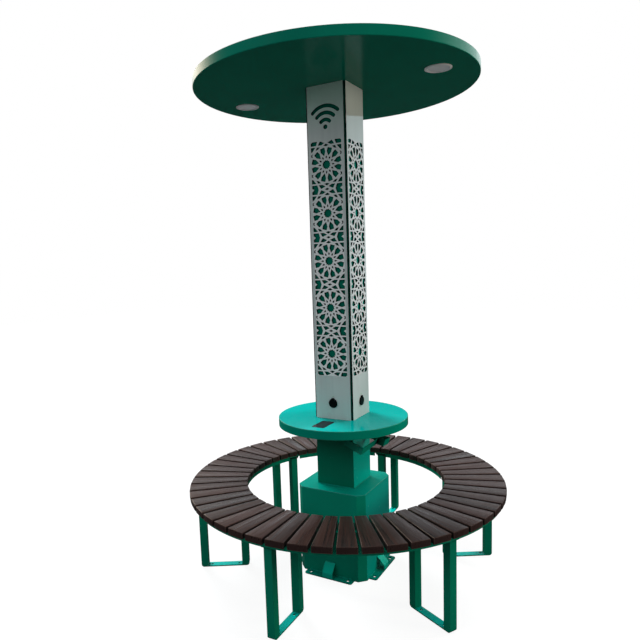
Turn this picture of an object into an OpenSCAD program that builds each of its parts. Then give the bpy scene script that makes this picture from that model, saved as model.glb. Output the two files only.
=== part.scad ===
// Solar charging table: a square column with lattice panels, a round table, a round solar canopy
// and a separate ring bench on six frames. Millimetres, +Z up, ground at zero, column axis on Z.

/* [Heights] */
// Top face of the bench slats above the ground
seat_top = 463; // [400:1:520]
// Top face of the table
table_top_z = 792; // [700:1:900]
// Height of the canopy's rim
canopy_rim_h = 42; // [30:1:90]
// Overall height, which is the canopy's upper rim
overall_h = 2438; // [2150:1:2760]

/* [Bench] */
// Radius of the slats' inner ends
bench_in_r = 505.5; // [400:0.5:700]
// Radius of the slats' outer ends
bench_out_r = 798; // [600:0.5:1100]
// Slat thickness
slat_t = 29; // [18:0.5:45]
// Number of slats
slat_count = 50; // [30:10:80]
// Gap between slats at their inner ends
slat_gap_in = 9.8; // [4:0.2:20]
// Gap between slats at their outer ends
slat_gap_out = 14.6; // [4:0.2:30]
// Slat edge rounding
slat_edge_r = 4; // [1:0.5:8]
// Turn of the whole bench about the column's axis
bench_turn = 1.3; // [0:0.1:7.2]
// Thickness of the flat rings under the slats
ring_t = 6; // [4:0.5:12]
// Outer radius of the inner ring
ring_in_outer_r = 575; // [520:1:620]
// Inner radius of the outer ring
ring_out_inner_r = 609; // [560:1:720]
// Depth of the turned down lips of the rings
ring_lip_h = 17; // [6:1:40]
// Number of leg frames
leg_count = 6; // [4:1:8]
// Innermost radius of a leg frame
leg_in_r = 516; // [450:1:600]
// Outermost radius of a leg frame
leg_out_r = 768.5; // [650:0.5:900]
// Tube size of a leg frame
leg_tube = 38; // [25:1:60]
// Bottom strip thickness of a leg frame
leg_strip_t = 6; // [4:0.5:12]
// Corner rounding at the foot of a leg frame
leg_corner_r = 14; // [5:1:30]
// Radius of the floor bolt holes in the legs
leg_hole_r = 5.5; // [3:0.5:10]
// Distance of the inner floor bolt hole from the leg's inner face
leg_hole_in = 56; // [45:1:90]
// Distance of the outer floor bolt hole from the leg's outer face
leg_hole_out = 56.5; // [45:0.5:90]
// Width of the plate on top of a leg frame
leg_plate_w = 70; // [50:1:120]

/* [Base] */
// Half width of the base box
base_half = 185; // [140:1:260]
// Height of the base box under its lid
base_h = 440; // [300:1:520]
// Corner chamfer of the base box
base_chamfer = 34; // [10:1:60]
// Sheet thickness of the base box
base_wall = 4; // [2:0.5:8]
// Length of a foot flange
foot_len = 262; // [180:1:360]
// Width of a foot flange
foot_w = 40; // [20:1:60]
// Thickness of a foot flange
foot_t = 6; // [4:0.5:12]
// Radius of the foot flange's bolt holes
foot_hole_r = 8; // [4:0.5:10]
// Distance between a foot flange's bolt holes
foot_hole_pitch = 206; // [120:1:300]
// Distance of the foot flange's bolt holes from the box
foot_hole_off = 18; // [10:1:30]
// Width of the strap over each foot flange
strap_w = 56; // [30:1:100]
// Height of the strap
strap_h = 72; // [50:1:140]
// Height of the lower fold of the strap
strap_lip = 30; // [12:1:40]

/* [Column] */
// Half width of the lower post
post_half = 102; // [60:1:150]
// Wall of the lower post
post_wall = 5; // [3:0.5:10]
// Half width of the upper core tube
core_half = 98; // [60:1:150]
// Wall of the core tube
core_wall = 4; // [2:0.5:8]
// Distance of the panels' outer faces from the axis
panel_out = 105; // [80:1:160]
// Half width of a panel
panel_half = 95.5; // [60:0.5:140]
// Sheet thickness of a panel
panel_t = 3; // [1.5:0.5:6]

/* [Lattice] */
// Half width of the lattice opening
lattice_half = 81; // [50:0.5:120]
// Height of one lattice cell
cell_h = 227; // [150:1:320]
// Height of the lowest rosette's centre
rosette_z = 1122; // [1000:1:1400]
// Number of rosettes
rosette_count = 5; // [1:1:8]

/* [Table] */
// Table radius
table_r = 330.5; // [250:0.5:500]
// Height of the table's rim
table_rim_h = 40.5; // [20:0.5:80]
// Sheet thickness of the table
table_t = 4; // [2:0.5:8]
// Width of the charging pad
pad_w = 66; // [40:1:120]
// Length of the charging pad
pad_l = 120; // [60:1:200]
// Distance of the charging pad's centre from the axis
pad_y = 217; // [160:1:260]
// Height of the sockets' centres above the table
socket_rise = 80; // [50:1:160]
// Radius of a socket's flange
socket_r = 23; // [15:0.5:40]

/* [Canopy] */
// Canopy radius
canopy_r = 675; // [450:1:1000]
// Sheet thickness of the canopy
canopy_t = 3; // [1.5:0.5:6]
// Distance of the downlights from the axis
light_x = 510; // [300:1:620]
// Radius of a downlight's flange
light_r = 60; // [35:1:90]

/* [Hidden] */
$fn = 96;
eps = 1; // overrun of every cut
seat_gap = 0.05; // radial clearance of a screw or pin in its hole
body_gap = 0.3; // gap between pieces that move apart

// Bench
slat_low = seat_top - slat_t;
slat_pitch_deg = 360 / slat_count;
slat_half_in = bench_in_r * tan(slat_pitch_deg / 2) - slat_gap_in / 2;
slat_half_out = bench_out_r * tan(slat_pitch_deg / 2) - slat_gap_out / 2;
slat_groups = 5;
ring_low = slat_low - ring_t;
ring_in_inset = 6;
ring_out_inset = 8;
ring_in_r = bench_in_r + ring_in_inset;
ring_out_r = bench_out_r - ring_out_inset;
lip_t = 4;
ring_out_lip_h = 6.5;
leg_top_plate_t = 12;
leg_h = ring_low - leg_top_plate_t;
leg_first_deg = 30 + bench_turn;
leg_hole_in_r = leg_in_r + leg_hole_in;
leg_hole_out_r = leg_out_r - leg_hole_out;
leg_plate_in_over = 4;
leg_plate_out_over = 15.5;
leg_plate_in = leg_in_r - leg_plate_in_over;
leg_plate_out = leg_out_r + leg_plate_out_over;
leg_plate_chamfer = 16;
screw_r = 2.2;
screw_head_r = 4.4;
screw_head_h = 2.4;
screw_reach = 16;
screw_in_off = 39.5;
screw_out_off = 50;
screw_in_r = bench_in_r + screw_in_off;
screw_out_r = bench_out_r - screw_out_off;
leg_bolt_r = 4;
leg_bolt_head_r = 6.5;
leg_bolt_head_h = 5.3;
leg_bolt_side = 15;
leg_bolt_in_off = 9;
leg_bolt_out_off = 40.5;
leg_bolt_in_r = leg_in_r + leg_tube + leg_bolt_in_off;
leg_bolt_out_r = leg_out_r - leg_tube - leg_bolt_out_off;

// Base
floor_t = 5;
lid_t = 4;
lid_top = base_h + lid_t;
lid_hole_r = 32;
foot_corner = 12;
strap_t = 4;
strap_step = 10;
strap_drop = 7;
door_open_half = 125;
door_open_low = 130;
door_open_high = 370;
door_t = 4;
door_lap = 12;
door_gap = 0.5;
hinge_x = 152;
hinge_out = 6.6;
hinge_y = base_half + hinge_out;
knuckle_r = 6;
knuckle_h = 20;
hinge_pin_r = 3;
hinge_zs = [185, 315];
hinge_web = 3;
lock_x = -108;
lock_z = 250;
lock_r = 9;
lock_head_r = 12;
lock_head_t = 3;
lock_stem = 16;
cam_l = 30;
cam_w = 12;
cam_t = 3;

// Column
canopy_low_z = overall_h - canopy_rim_h;
flange_half = 130;
flange_t = 12;
post_top = table_top_z - table_t - flange_t;
plate_in_half = core_half - core_wall;
foot_plate_t = 8;
head_plate_t = 8;
head_plate_half = 150;
cable_r = 10;
cable_hole_r = 20;
frame_bolt_r = 6;
frame_bolt_side = 60;
frame_bolt_head_r = 10;
frame_bolt_head_h = 8;
panel_low = table_top_z;
panel_h = canopy_low_z - panel_low;
return_t = 3;
standoff = panel_out - panel_t - core_half;

// Lattice, every number a share of the opening's half width
petal_shares = [[0.500, 0], [0.751, 0.154], [0.979, 0.146], [0.979, -0.146], [0.751, -0.154]];
kite_shares = [[0.342, 0], [0.419, 0.059], [0.546, 0], [0.419, -0.059]];
dart_shares = [[1.197, 0], [1.091, 0.175], [1.043, 0], [1.091, -0.175]];
side_dart_shares = [[0.868, 0.705], [1, 0.643], [1, 0.506], [0.885, 0.486], [0.931, 0.593]];
corner_shares = [[0.697, 1.049], [1, 1.049], [1, 0.765], [0.903, 0.804]];
bow_shares = [[0.097, 1.239], [0.391, 1.366], [0.549, 1.131], [0.300, 1.131]];
wing_shares = [[0.559, 1.407], [0.650, 1.131], [1, 1.131], [1, 1.298], [0.854, 1.407]];
end_wing_shares = [[0.571, 1.370], [0.650, 1.131], [1, 1.131], [1, 1.298], [0.902, 1.370]];
diamond_shares = [[0.144, 0], [0, 0.071], [-0.144, 0], [0, -0.071]];
star_tip_share = 0.277;
star_notch_share = 0.224;

// Signal symbol
signal_z = 2203;
signal_rs = [33, 64.5, 96];
signal_half_w = 8.5;
signal_dot_r = 11;
signal_half_deg = 44;
signal_steps = 16;
round_steps = 6;

// Table
table_low = table_top_z - table_rim_h;
table_chamfer = 2;
pad_corner = 8;
pad_deep = 12;
coil_r = 25;
coil_t = 3;
rib_t = 6;
hook_t = 4;
hook_low = 663;
hook_h = 32;
hook_lean = [10.5, 3.5]; // shift of the strip's upper edge outwards
hook_path = [[50, -98], [193, -210], [190, -18], [236, -43], [241, 6], [92, 66.6]];

// Sockets
socket_z = table_top_z + socket_rise;
socket_t = 3;
barrel_r = 20.8;
barrel_clear = 0.1;
barrel_deep = 30;
recess_r = 18;
recess_deep = 8;
port_w = 13;
port_h = 5.6;
port_deep = 12;
port_side = 7.2;
cap_r = 21.8;
cap_t = 3;
cap_axis_rise = 24.8;
cap_axis_off = 3.2;
cap_axis_out = panel_out + socket_t + cap_axis_off;
cap_knuckle_r = 2.3;
cap_pin_r = 1.2;
tongue_half = 3;
ear_t = 2;
ear_gap = 0.3;
led_rise = 35;
led_r = 3;
led_out = 1;

// Canopy
rim_t = 4;
canopy_chamfer = 2;
sheet_top = canopy_low_z + canopy_t;
pv_r = canopy_r - rim_t;
pv_glass_t = 4;
pv_cell_t = 0.5;
pv_back_t = 2;
pv_sunk = 1;
pv_top = overall_h - pv_sunk;
pv_cell_low = pv_top - pv_glass_t - pv_cell_t;
pv_back_low = pv_cell_low - pv_back_t;
cell_size = 150;
cell_pitch = 156;
cell_reach = 650;
cell_n = 4;
canopy_rib_t = 5;
canopy_rib_in = 214;
canopy_rib_out = 668;
canopy_rib_count = 8;
light_body_r = 52;
light_wall = 4;
light_flange_t = 3;
light_high = 26;
lens_t = 3;
lens_in = 6;
board_t = 2;

// Inside the base
battery_size = [200, 150, 170];
controller_size = [130, 34, 90];
router_size = [30, 120, 84];
supply_size = [30, 150, 100];
unit_z = 210;

function turned(points, deg) = [for (p = points) [p[0] * cos(deg) - p[1] * sin(deg),
    p[0] * sin(deg) + p[1] * cos(deg)]];
function placed(points, size, sx, sy, up) = [for (p = points) [p[0] * sx * size, p[1] * sy * size + up]];
function starts(loops, i = 0, s = 0) = i == len(loops) ? [] :
    concat([s], starts(loops, i + 1, s + len(loops[i])));
function square_ring(half) = [[-half, -half], [half, -half], [half, half], [-half, half]];
function cut_square(half, c) = [[-half + c, -half], [half - c, -half], [half, -half + c],
    [half, half - c], [half - c, half], [-half + c, half], [-half, half - c], [-half, -half + c]];
function star_loop() = [for (i = [0 : 23]) let (r = i % 2 == 0 ? star_notch_share : star_tip_share)
    [r * cos(i * 15), r * sin(i * 15)]];

function rosette_loops(up) = concat(
    [placed(star_loop(), lattice_half, 1, 1, up)],
    [for (i = [0 : 11]) placed(turned(petal_shares, 15 + 30 * i), lattice_half, 1, 1, up)],
    [for (i = [0 : 11]) placed(turned(kite_shares, 30 * i), lattice_half, 1, 1, up)],
    [for (a = [60, 90, 120, 240, 270, 300]) placed(turned(dart_shares, a), lattice_half, 1, 1, up)],
    [for (sx = [-1, 1], sy = [-1, 1], s = [side_dart_shares, corner_shares, bow_shares])
        placed(s, lattice_half, sx, sy, up)]);
function between_loops(up) = concat(
    [placed(diamond_shares, lattice_half, 1, 1, up)],
    [for (sx = [-1, 1]) concat(
        placed(wing_shares, lattice_half, sx, 1, up - cell_h / 2),
        [for (i = [3, 2, 1]) [wing_shares[i][0] * sx * lattice_half,
            up + cell_h / 2 - wing_shares[i][1] * lattice_half]])]);
function end_loops(up, sy) = [for (sx = [-1, 1]) placed(end_wing_shares, lattice_half, sx, sy, up)];
function lattice_loops() = concat(
    [for (k = [0 : rosette_count - 1]) each rosette_loops(rosette_z + k * cell_h)],
    [for (k = [0 : rosette_count - 2]) each between_loops(rosette_z + (k + 0.5) * cell_h)],
    end_loops(rosette_z, -1),
    end_loops(rosette_z + (rosette_count - 1) * cell_h, 1));

function arc_end(r, deg, from) = [for (i = [1 : round_steps - 1]) let (a = from + i * 180 / round_steps)
    [r * sin(deg) + signal_half_w * sin(a), r * cos(deg) + signal_half_w * cos(a) + signal_z]];
function arc_side(r, way) = [for (i = [0 : signal_steps])
    let (a = way * signal_half_deg * (2 * i / signal_steps - 1)) [r * sin(a), r * cos(a) + signal_z]];
function arc_loop(r) = concat(
    arc_side(r + signal_half_w, 1), arc_end(r, signal_half_deg, signal_half_deg),
    arc_side(r - signal_half_w, -1), arc_end(r, -signal_half_deg, 180 - signal_half_deg));

function unit(v) = v / norm(v);
function reversed(list) = [for (i = [len(list) - 1 : -1 : 0]) list[i]];
function hook_way(i) = unit(hook_path[i + 1] - hook_path[i]);
function hook_side(s) = [for (i = [0 : len(hook_path) - 1]) let (
    into = hook_way(max(i - 1, 0)),
    out = hook_way(min(i, len(hook_path) - 2)),
    mean = unit(into + out)) hook_path[i] + [-mean[1], mean[0]] * s * hook_t / 2 / (mean * out)];

module ring_of(n, first) {
    for (i = [0 : n - 1]) rotate([0, 0, first + i * 360 / n]) children();
}

// Base
module base_outline(half, c, h) {
    linear_extrude(height = h) polygon(cut_square(half, c));
}

module base_box() color([0.0, 0.36, 0.30]) {
    inner_c = base_chamfer - base_wall * tan(22.5);
    difference() {
        base_outline(base_half, base_chamfer, base_h);
        translate([0, 0, -eps])
            base_outline(base_half - base_wall, inner_c, base_h + 2 * eps);
        translate([-door_open_half, base_half - base_wall - eps, door_open_low])
            cube([2 * door_open_half, base_wall + 2 * eps, door_open_high - door_open_low]);
    }
    for (z = hinge_zs) fixed_knuckles(z);
}

module fixed_knuckles(z) {
    for (s = [-1, 1]) translate([hinge_x, hinge_y, z + s * (knuckle_h + body_gap)]) {
        translate([0, 0, -knuckle_h / 2]) {
            cylinder(r = knuckle_r, h = knuckle_h);
            translate([-hinge_web, base_half - hinge_y, 0])
                cube([2 * hinge_web, hinge_y - base_half, knuckle_h]);
        }
    }
    translate([hinge_x, hinge_y, z - knuckle_h])
        cylinder(r = hinge_pin_r, h = 2 * knuckle_h);
}

module base_floor() color([0.0, 0.30, 0.26]) {
    base_outline(base_half - base_wall, base_chamfer - base_wall * tan(22.5), floor_t);
}

module base_lid() color([0.0, 0.44, 0.38]) {
    translate([0, 0, base_h]) difference() {
        base_outline(base_half, base_chamfer, lid_t);
        translate([0, 0, -eps]) cylinder(r = lid_hole_r, h = lid_t + 2 * eps);
    }
}

module foot(deg) color([0.0, 0.44, 0.38]) {
    rotate([0, 0, deg]) difference() {
        union() {
            translate([-foot_len / 2 + foot_corner, -base_half - foot_w, 0])
                cube([foot_len - 2 * foot_corner, foot_w, foot_t]);
            translate([-foot_len / 2, -base_half - foot_w + foot_corner, 0])
                cube([foot_len, foot_w - foot_corner, foot_t]);
            for (s = [-1, 1])
                translate([s * (foot_len / 2 - foot_corner), -base_half - foot_w + foot_corner, 0])
                    cylinder(r = foot_corner, h = foot_t);
        }
        for (s = [-1, 1])
            translate([s * foot_hole_pitch / 2, -base_half - foot_hole_off, -eps])
                cylinder(r = foot_hole_r, h = foot_t + 2 * eps);
    }
}

module foot_straps() color([0.0, 0.50, 0.44]) {
    out = base_half + foot_w;
    fold = base_half + strap_step;
    fold_z = strap_h - strap_drop;
    outline = [[out, foot_t], [out, strap_lip], [fold, fold_z], [base_half, strap_h],
        [base_half, strap_h - strap_t * 5 / 4], [fold - strap_t * 2 / 3, fold_z - strap_t * 3 / 4],
        [out - strap_t, strap_lip - strap_t * 3 / 8], [out - strap_t, foot_t]];
    ring_of(4, 0) translate([0, strap_w / 2, 0]) rotate([90, 0, 0])
        linear_extrude(height = strap_w) polygon(outline);
}

module service_door() color([0.0, 0.40, 0.34]) {
    low = base_half + door_gap;
    edge = door_open_half + door_lap;
    difference() {
        union() {
            translate([-edge, low, door_open_low - door_lap])
                cube([2 * edge, door_t, door_open_high - door_open_low + 2 * door_lap]);
            for (z = hinge_zs) {
                translate([hinge_x, hinge_y, z - knuckle_h / 2])
                    cylinder(r = knuckle_r, h = knuckle_h);
                translate([edge - 2 * door_lap, low + door_t - hinge_web / 2, z - knuckle_h / 2])
                    cube([hinge_x - edge + 2 * door_lap, hinge_web, knuckle_h]);
            }
        }
        for (z = hinge_zs)
            translate([hinge_x, hinge_y, z - knuckle_h / 2 - eps])
                cylinder(r = hinge_pin_r + seat_gap, h = knuckle_h + 2 * eps);
        translate([lock_x, low - eps, lock_z]) rotate([-90, 0, 0])
            cylinder(r = lock_r + seat_gap, h = door_t + 2 * eps);
    }
}

module door_lock() color([0.62, 0.63, 0.64]) {
    out = base_half + door_gap + door_t;
    translate([lock_x, out + body_gap, lock_z]) rotate([-90, 0, 0]) {
        difference() {
            cylinder(r = lock_head_r, h = lock_head_t);
            translate([-lock_head_r / 3, -lock_head_t / 4, lock_head_t / 2])
                cube([lock_head_r / 1.5, lock_head_t / 2, lock_head_t]);
        }
        translate([0, 0, -lock_stem]) cylinder(r = lock_r, h = lock_stem);
    }
    translate([lock_x - cam_w / 2, out + body_gap - lock_stem - cam_t, lock_z - cam_w / 2])
        cube([cam_w, cam_t, cam_l]);
}

module battery() color([0.16, 0.17, 0.19]) {
    translate([-battery_size[0] / 2, -battery_size[1] / 2, floor_t]) cube(battery_size);
}

module charge_controller() color([0.20, 0.30, 0.42]) {
    translate([-controller_size[0] / 2, -base_half + base_wall, unit_z]) cube(controller_size);
}

module network_router() color([0.12, 0.12, 0.13]) {
    translate([-base_half + base_wall, -router_size[1] / 2, unit_z]) cube(router_size);
}

module usb_supply() color([0.70, 0.71, 0.72]) {
    translate([base_half - base_wall - supply_size[0], -supply_size[1] / 2, unit_z]) cube(supply_size);
}

// Column
module frame_holes(low, h) {
    for (sx = [-1, 1], sy = [-1, 1])
        translate([sx * frame_bolt_side, sy * frame_bolt_side, low - eps])
            cylinder(r = frame_bolt_r + seat_gap, h = h + 2 * eps);
    translate([0, 0, low - eps]) cylinder(r = cable_hole_r, h = h + 2 * eps);
}

module lower_post() color([0.0, 0.44, 0.38]) {
    translate([0, 0, lid_top]) linear_extrude(height = post_top - lid_top)
        polygon(concat(square_ring(post_half), square_ring(post_half - post_wall)),
            [[0, 1, 2, 3], [4, 5, 6, 7]]);
}

module post_flange() color([0.0, 0.34, 0.30]) {
    difference() {
        translate([-flange_half, -flange_half, post_top])
            cube([2 * flange_half, 2 * flange_half, flange_t]);
        frame_holes(post_top, flange_t);
    }
}

module core_foot_plate() color([0.0, 0.34, 0.30]) {
    difference() {
        translate([-plate_in_half, -plate_in_half, table_top_z])
            cube([2 * plate_in_half, 2 * plate_in_half, foot_plate_t]);
        frame_holes(table_top_z, foot_plate_t);
    }
}

module core_tube() color([0.0, 0.36, 0.30]) {
    difference() {
        translate([0, 0, table_top_z]) linear_extrude(height = canopy_low_z - table_top_z)
            polygon(concat(square_ring(core_half), square_ring(core_half - core_wall)),
                [[0, 1, 2, 3], [4, 5, 6, 7]]);
        ring_of(4, 0) {
            translate([0, -core_half + core_wall + eps, socket_z]) rotate([90, 0, 0])
                cylinder(r = barrel_r + barrel_clear, h = core_wall + 2 * eps);
            translate([0, -core_half + core_wall + eps, socket_z + led_rise]) rotate([90, 0, 0])
                cylinder(r = led_r + seat_gap, h = core_wall + 2 * eps);
        }
    }
}

module core_head_plate() color([0.0, 0.34, 0.30]) {
    low = canopy_low_z - head_plate_t;
    difference() {
        translate([-plate_in_half, -plate_in_half, low])
            cube([2 * plate_in_half, 2 * plate_in_half, head_plate_t]);
        frame_holes(low, head_plate_t);
    }
}

module lattice_panel(deg, with_signal) color([0.62, 0.65, 0.66]) {
    outline = [[-panel_half, panel_low], [panel_half, panel_low],
        [panel_half, panel_low + panel_h], [-panel_half, panel_low + panel_h]];
    loops = concat([outline], lattice_loops(),
        with_signal ? [for (r = signal_rs) arc_loop(r)] : []);
    marks = starts(loops);
    points = [for (l = loops) each l];
    paths = [for (i = [0 : len(loops) - 1]) [for (j = [0 : len(loops[i]) - 1]) marks[i] + j]];
    rotate([0, 0, deg]) difference() {
        union() {
            translate([0, -panel_out + panel_t, 0]) rotate([90, 0, 0])
                linear_extrude(height = panel_t) polygon(points, paths);
            for (s = [-1, 1])
                translate([s * (panel_half - return_t / 2) - return_t / 2, -panel_out + panel_t, panel_low])
                    cube([return_t, standoff, panel_h]);
        }
        translate([0, -panel_out + panel_t + eps, socket_z]) rotate([90, 0, 0])
            cylinder(r = barrel_r + barrel_clear, h = panel_t + 2 * eps);
        translate([0, -panel_out + panel_t + eps, socket_z + led_rise]) rotate([90, 0, 0])
            cylinder(r = led_r + seat_gap, h = panel_t + 2 * eps);
        if (with_signal)
            translate([0, -panel_out + panel_t + eps, signal_z]) rotate([90, 0, 0])
                cylinder(r = signal_dot_r, h = panel_t + 2 * eps);
    }
}

module frame_bolts() color([0.62, 0.63, 0.64]) {
    low_grip = [post_top, table_top_z + foot_plate_t];
    high_grip = [canopy_low_z - head_plate_t, sheet_top + head_plate_t];
    for (sx = [-1, 1], sy = [-1, 1], g = [low_grip, high_grip])
        translate([sx * frame_bolt_side, sy * frame_bolt_side, 0]) {
            translate([0, 0, g[0] - frame_bolt_head_h])
                cylinder(r = frame_bolt_head_r, h = frame_bolt_head_h, $fn = 6);
            translate([0, 0, g[0] - frame_bolt_head_h])
                cylinder(r = frame_bolt_r, h = g[1] - g[0] + 2 * frame_bolt_head_h);
            translate([0, 0, g[1]]) cylinder(r = frame_bolt_head_r, h = frame_bolt_head_h, $fn = 6);
        }
}

module cable_conduit() color([0.10, 0.10, 0.11]) {
    low = floor_t + battery_size[2];
    translate([0, 0, low]) cylinder(r = cable_r, h = sheet_top + 2 * head_plate_t - low);
}

// Table
module rounded_pad(w, l, r, h) {
    translate([-w / 2 + r, -l / 2, 0]) cube([w - 2 * r, l, h]);
    translate([-w / 2, -l / 2 + r, 0]) cube([w, l - 2 * r, h]);
    for (sx = [-1, 1], sy = [-1, 1])
        translate([sx * (w / 2 - r), sy * (l / 2 - r), 0]) cylinder(r = r, h = h);
}

module table_pan() color([0.0, 0.62, 0.56]) {
    profile = [[0, table_top_z - table_t], [table_r - table_t, table_top_z - table_t],
        [table_r - table_t, table_low], [table_r, table_low], [table_r, table_top_z - table_chamfer],
        [table_r - table_chamfer, table_top_z], [0, table_top_z]];
    difference() {
        rotate_extrude() polygon(profile);
        frame_holes(table_top_z - table_t, table_t);
        translate([0, -pad_y, table_top_z - table_t - eps])
            rounded_pad(pad_w, pad_l, pad_corner, table_t + 2 * eps);
    }
}

module table_ribs() color([0.0, 0.34, 0.30]) {
    reach = table_r - table_t;
    corner = post_half * sqrt(2);
    clear = flange_half * sqrt(2) + rib_t;
    outline = [[corner, table_low], [reach, table_low], [reach, table_top_z - table_t],
        [clear, table_top_z - table_t], [clear, post_top], [corner, post_top]];
    ring_of(4, 45) translate([0, rib_t / 2, 0]) rotate([90, 0, 0])
        linear_extrude(height = rib_t) polygon(outline);
}

module bag_hook() color([0.0, 0.48, 0.42]) {
    leaning = [[1, 0, hook_lean[0] / hook_h, 0], [0, 1, hook_lean[1] / hook_h, 0], [0, 0, 1, 0],
        [0, 0, 0, 1]];
    difference() {
        translate([0, 0, hook_low]) multmatrix(leaning) linear_extrude(height = hook_h)
            polygon(concat(hook_side(1), reversed(hook_side(-1))));
        translate([-post_half, -post_half, hook_low - eps])
            cube([2 * post_half, 2 * post_half, hook_h + 2 * eps]);
    }
}

module charge_pad() color([0.06, 0.06, 0.07]) {
    translate([0, -pad_y, table_top_z - pad_deep])
        rounded_pad(pad_w, pad_l, pad_corner, pad_deep);
}

module charge_coil() color([0.72, 0.42, 0.24]) {
    translate([0, -pad_y, table_top_z - pad_deep - coil_t]) difference() {
        cylinder(r = coil_r, h = coil_t);
        translate([0, 0, -eps]) cylinder(r = coil_r / 3, h = coil_t + 2 * eps);
    }
}

// Sockets
module socket_bodies() color([0.06, 0.06, 0.07]) {
    ring_of(4, 0) {
        difference() {
            union() {
                translate([0, -panel_out, socket_z]) rotate([90, 0, 0]) cylinder(r = socket_r, h = socket_t);
                translate([0, -panel_out + barrel_deep, socket_z]) rotate([90, 0, 0])
                    cylinder(r = barrel_r, h = barrel_deep);
                for (s = [-1, 1]) cap_ear(s);
            }
            translate([0, -panel_out - socket_t + recess_deep, socket_z]) rotate([90, 0, 0])
                cylinder(r = recess_r, h = recess_deep + eps);
            for (s = [-1, 1])
                translate([-port_w / 2, -panel_out - socket_t + recess_deep - eps,
                    socket_z + s * port_side - port_h / 2])
                    cube([port_w, port_deep + eps, port_h]);
        }
        translate([-tongue_half - ear_gap - ear_t, -cap_axis_out, socket_z + cap_axis_rise])
            rotate([0, 90, 0])
                cylinder(r = cap_pin_r, h = 2 * (tongue_half + ear_gap + ear_t));
    }
}

module cap_ear(s) {
    x = s * (tongue_half + ear_gap + ear_t / 2) - ear_t / 2;
    translate([x, -cap_axis_out, socket_z + cap_axis_rise]) rotate([0, 90, 0])
        cylinder(r = cap_knuckle_r, h = ear_t);
    translate([x, -cap_axis_out, socket_z + cap_axis_rise - cap_knuckle_r])
        cube([ear_t, cap_axis_out - panel_out, 2 * cap_knuckle_r]);
    translate([x, -panel_out - socket_t, socket_z + socket_r - ear_t])
        cube([ear_t, socket_t, ear_t + cap_axis_rise - socket_r]);
}

module socket_cap(deg) color([0.07, 0.07, 0.08]) {
    low = panel_out + socket_t + body_gap;
    rotate([0, 0, deg]) difference() {
        union() {
            translate([0, -low, socket_z]) rotate([90, 0, 0]) cylinder(r = cap_r, h = cap_t);
            translate([-tongue_half, -cap_axis_out, socket_z + cap_axis_rise]) rotate([0, 90, 0])
                cylinder(r = cap_knuckle_r, h = 2 * tongue_half);
            translate([-tongue_half, -low - cap_t, socket_z + cap_r - cap_t])
                cube([2 * tongue_half, cap_t, cap_t + cap_axis_rise - cap_r]);
        }
        translate([-tongue_half - eps, -cap_axis_out, socket_z + cap_axis_rise]) rotate([0, 90, 0])
            cylinder(r = cap_pin_r + seat_gap, h = 2 * (tongue_half + eps));
    }
}

module led_dots() color([0.55, 0.75, 0.60]) {
    ring_of(4, 0) translate([0, -core_half + core_wall, socket_z + led_rise]) rotate([90, 0, 0])
        cylinder(r = led_r, h = panel_out - core_half + core_wall + led_out);
}

// Canopy
module canopy_pan() color([0.0, 0.36, 0.31]) {
    profile = [[0, canopy_low_z], [canopy_r - canopy_chamfer, canopy_low_z],
        [canopy_r, canopy_low_z + canopy_chamfer], [canopy_r, overall_h - canopy_chamfer],
        [canopy_r - canopy_chamfer, overall_h], [canopy_r - rim_t, overall_h],
        [canopy_r - rim_t, sheet_top], [0, sheet_top]];
    difference() {
        rotate_extrude($fn = 180) polygon(profile);
        frame_holes(canopy_low_z, canopy_t);
        for (s = [-1, 1]) translate([s * light_x, 0, canopy_low_z - eps])
            cylinder(r = light_body_r + seat_gap, h = canopy_t + 2 * eps);
    }
}

module canopy_head_plate() color([0.0, 0.34, 0.30]) {
    difference() {
        translate([-head_plate_half, -head_plate_half, sheet_top])
            cube([2 * head_plate_half, 2 * head_plate_half, head_plate_t]);
        frame_holes(sheet_top, head_plate_t);
    }
}

module canopy_ribs() color([0.0, 0.34, 0.30]) {
    ring_of(canopy_rib_count, 180 / canopy_rib_count)
        translate([canopy_rib_in, -canopy_rib_t / 2, sheet_top])
            cube([canopy_rib_out - canopy_rib_in, canopy_rib_t, pv_back_low - sheet_top]);
}

module pv_backsheet() color([0.85, 0.86, 0.87]) {
    translate([0, 0, pv_back_low]) cylinder(r = pv_r, h = pv_back_t, $fn = 180);
}

module pv_cells() color([0.04, 0.06, 0.16]) {
    for (i = [-cell_n : cell_n - 1], j = [-cell_n : cell_n - 1]) {
        x = (i + 0.5) * cell_pitch;
        y = (j + 0.5) * cell_pitch;
        if (norm([abs(x) + cell_size / 2, abs(y) + cell_size / 2]) < cell_reach)
            translate([x - cell_size / 2, y - cell_size / 2, pv_cell_low])
                cube([cell_size, cell_size, pv_cell_t]);
    }
}

module pv_glass() color([0.60, 0.70, 0.78, 0.4]) {
    translate([0, 0, pv_top - pv_glass_t]) cylinder(r = pv_r, h = pv_glass_t, $fn = 180);
}

module downlight_housings() color([0.78, 0.80, 0.80]) {
    for (s = [-1, 1]) translate([s * light_x, 0, canopy_low_z]) difference() {
        union() {
            translate([0, 0, -light_flange_t]) cylinder(r = light_r, h = light_flange_t);
            cylinder(r = light_body_r, h = light_high);
        }
        translate([0, 0, -light_flange_t - eps])
            cylinder(r = light_body_r - light_wall, h = light_high - light_wall + light_flange_t + eps);
    }
}

module downlight_lenses() color([0.88, 0.90, 0.90]) {
    for (s = [-1, 1]) translate([s * light_x, 0, canopy_low_z - light_flange_t + lens_in])
        cylinder(r = light_body_r - light_wall, h = lens_t);
}

module downlight_boards() color([0.90, 0.90, 0.86]) {
    for (s = [-1, 1]) translate([s * light_x, 0, canopy_low_z + light_high - light_wall - board_t])
        cylinder(r = light_body_r - 2 * light_wall, h = board_t);
}

// Bench
module countersunk(low) {
    translate([0, 0, low]) cylinder(r1 = screw_head_r, r2 = screw_r, h = screw_head_h);
    translate([0, 0, low]) cylinder(r = screw_r, h = ring_t + screw_reach);
}

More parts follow.
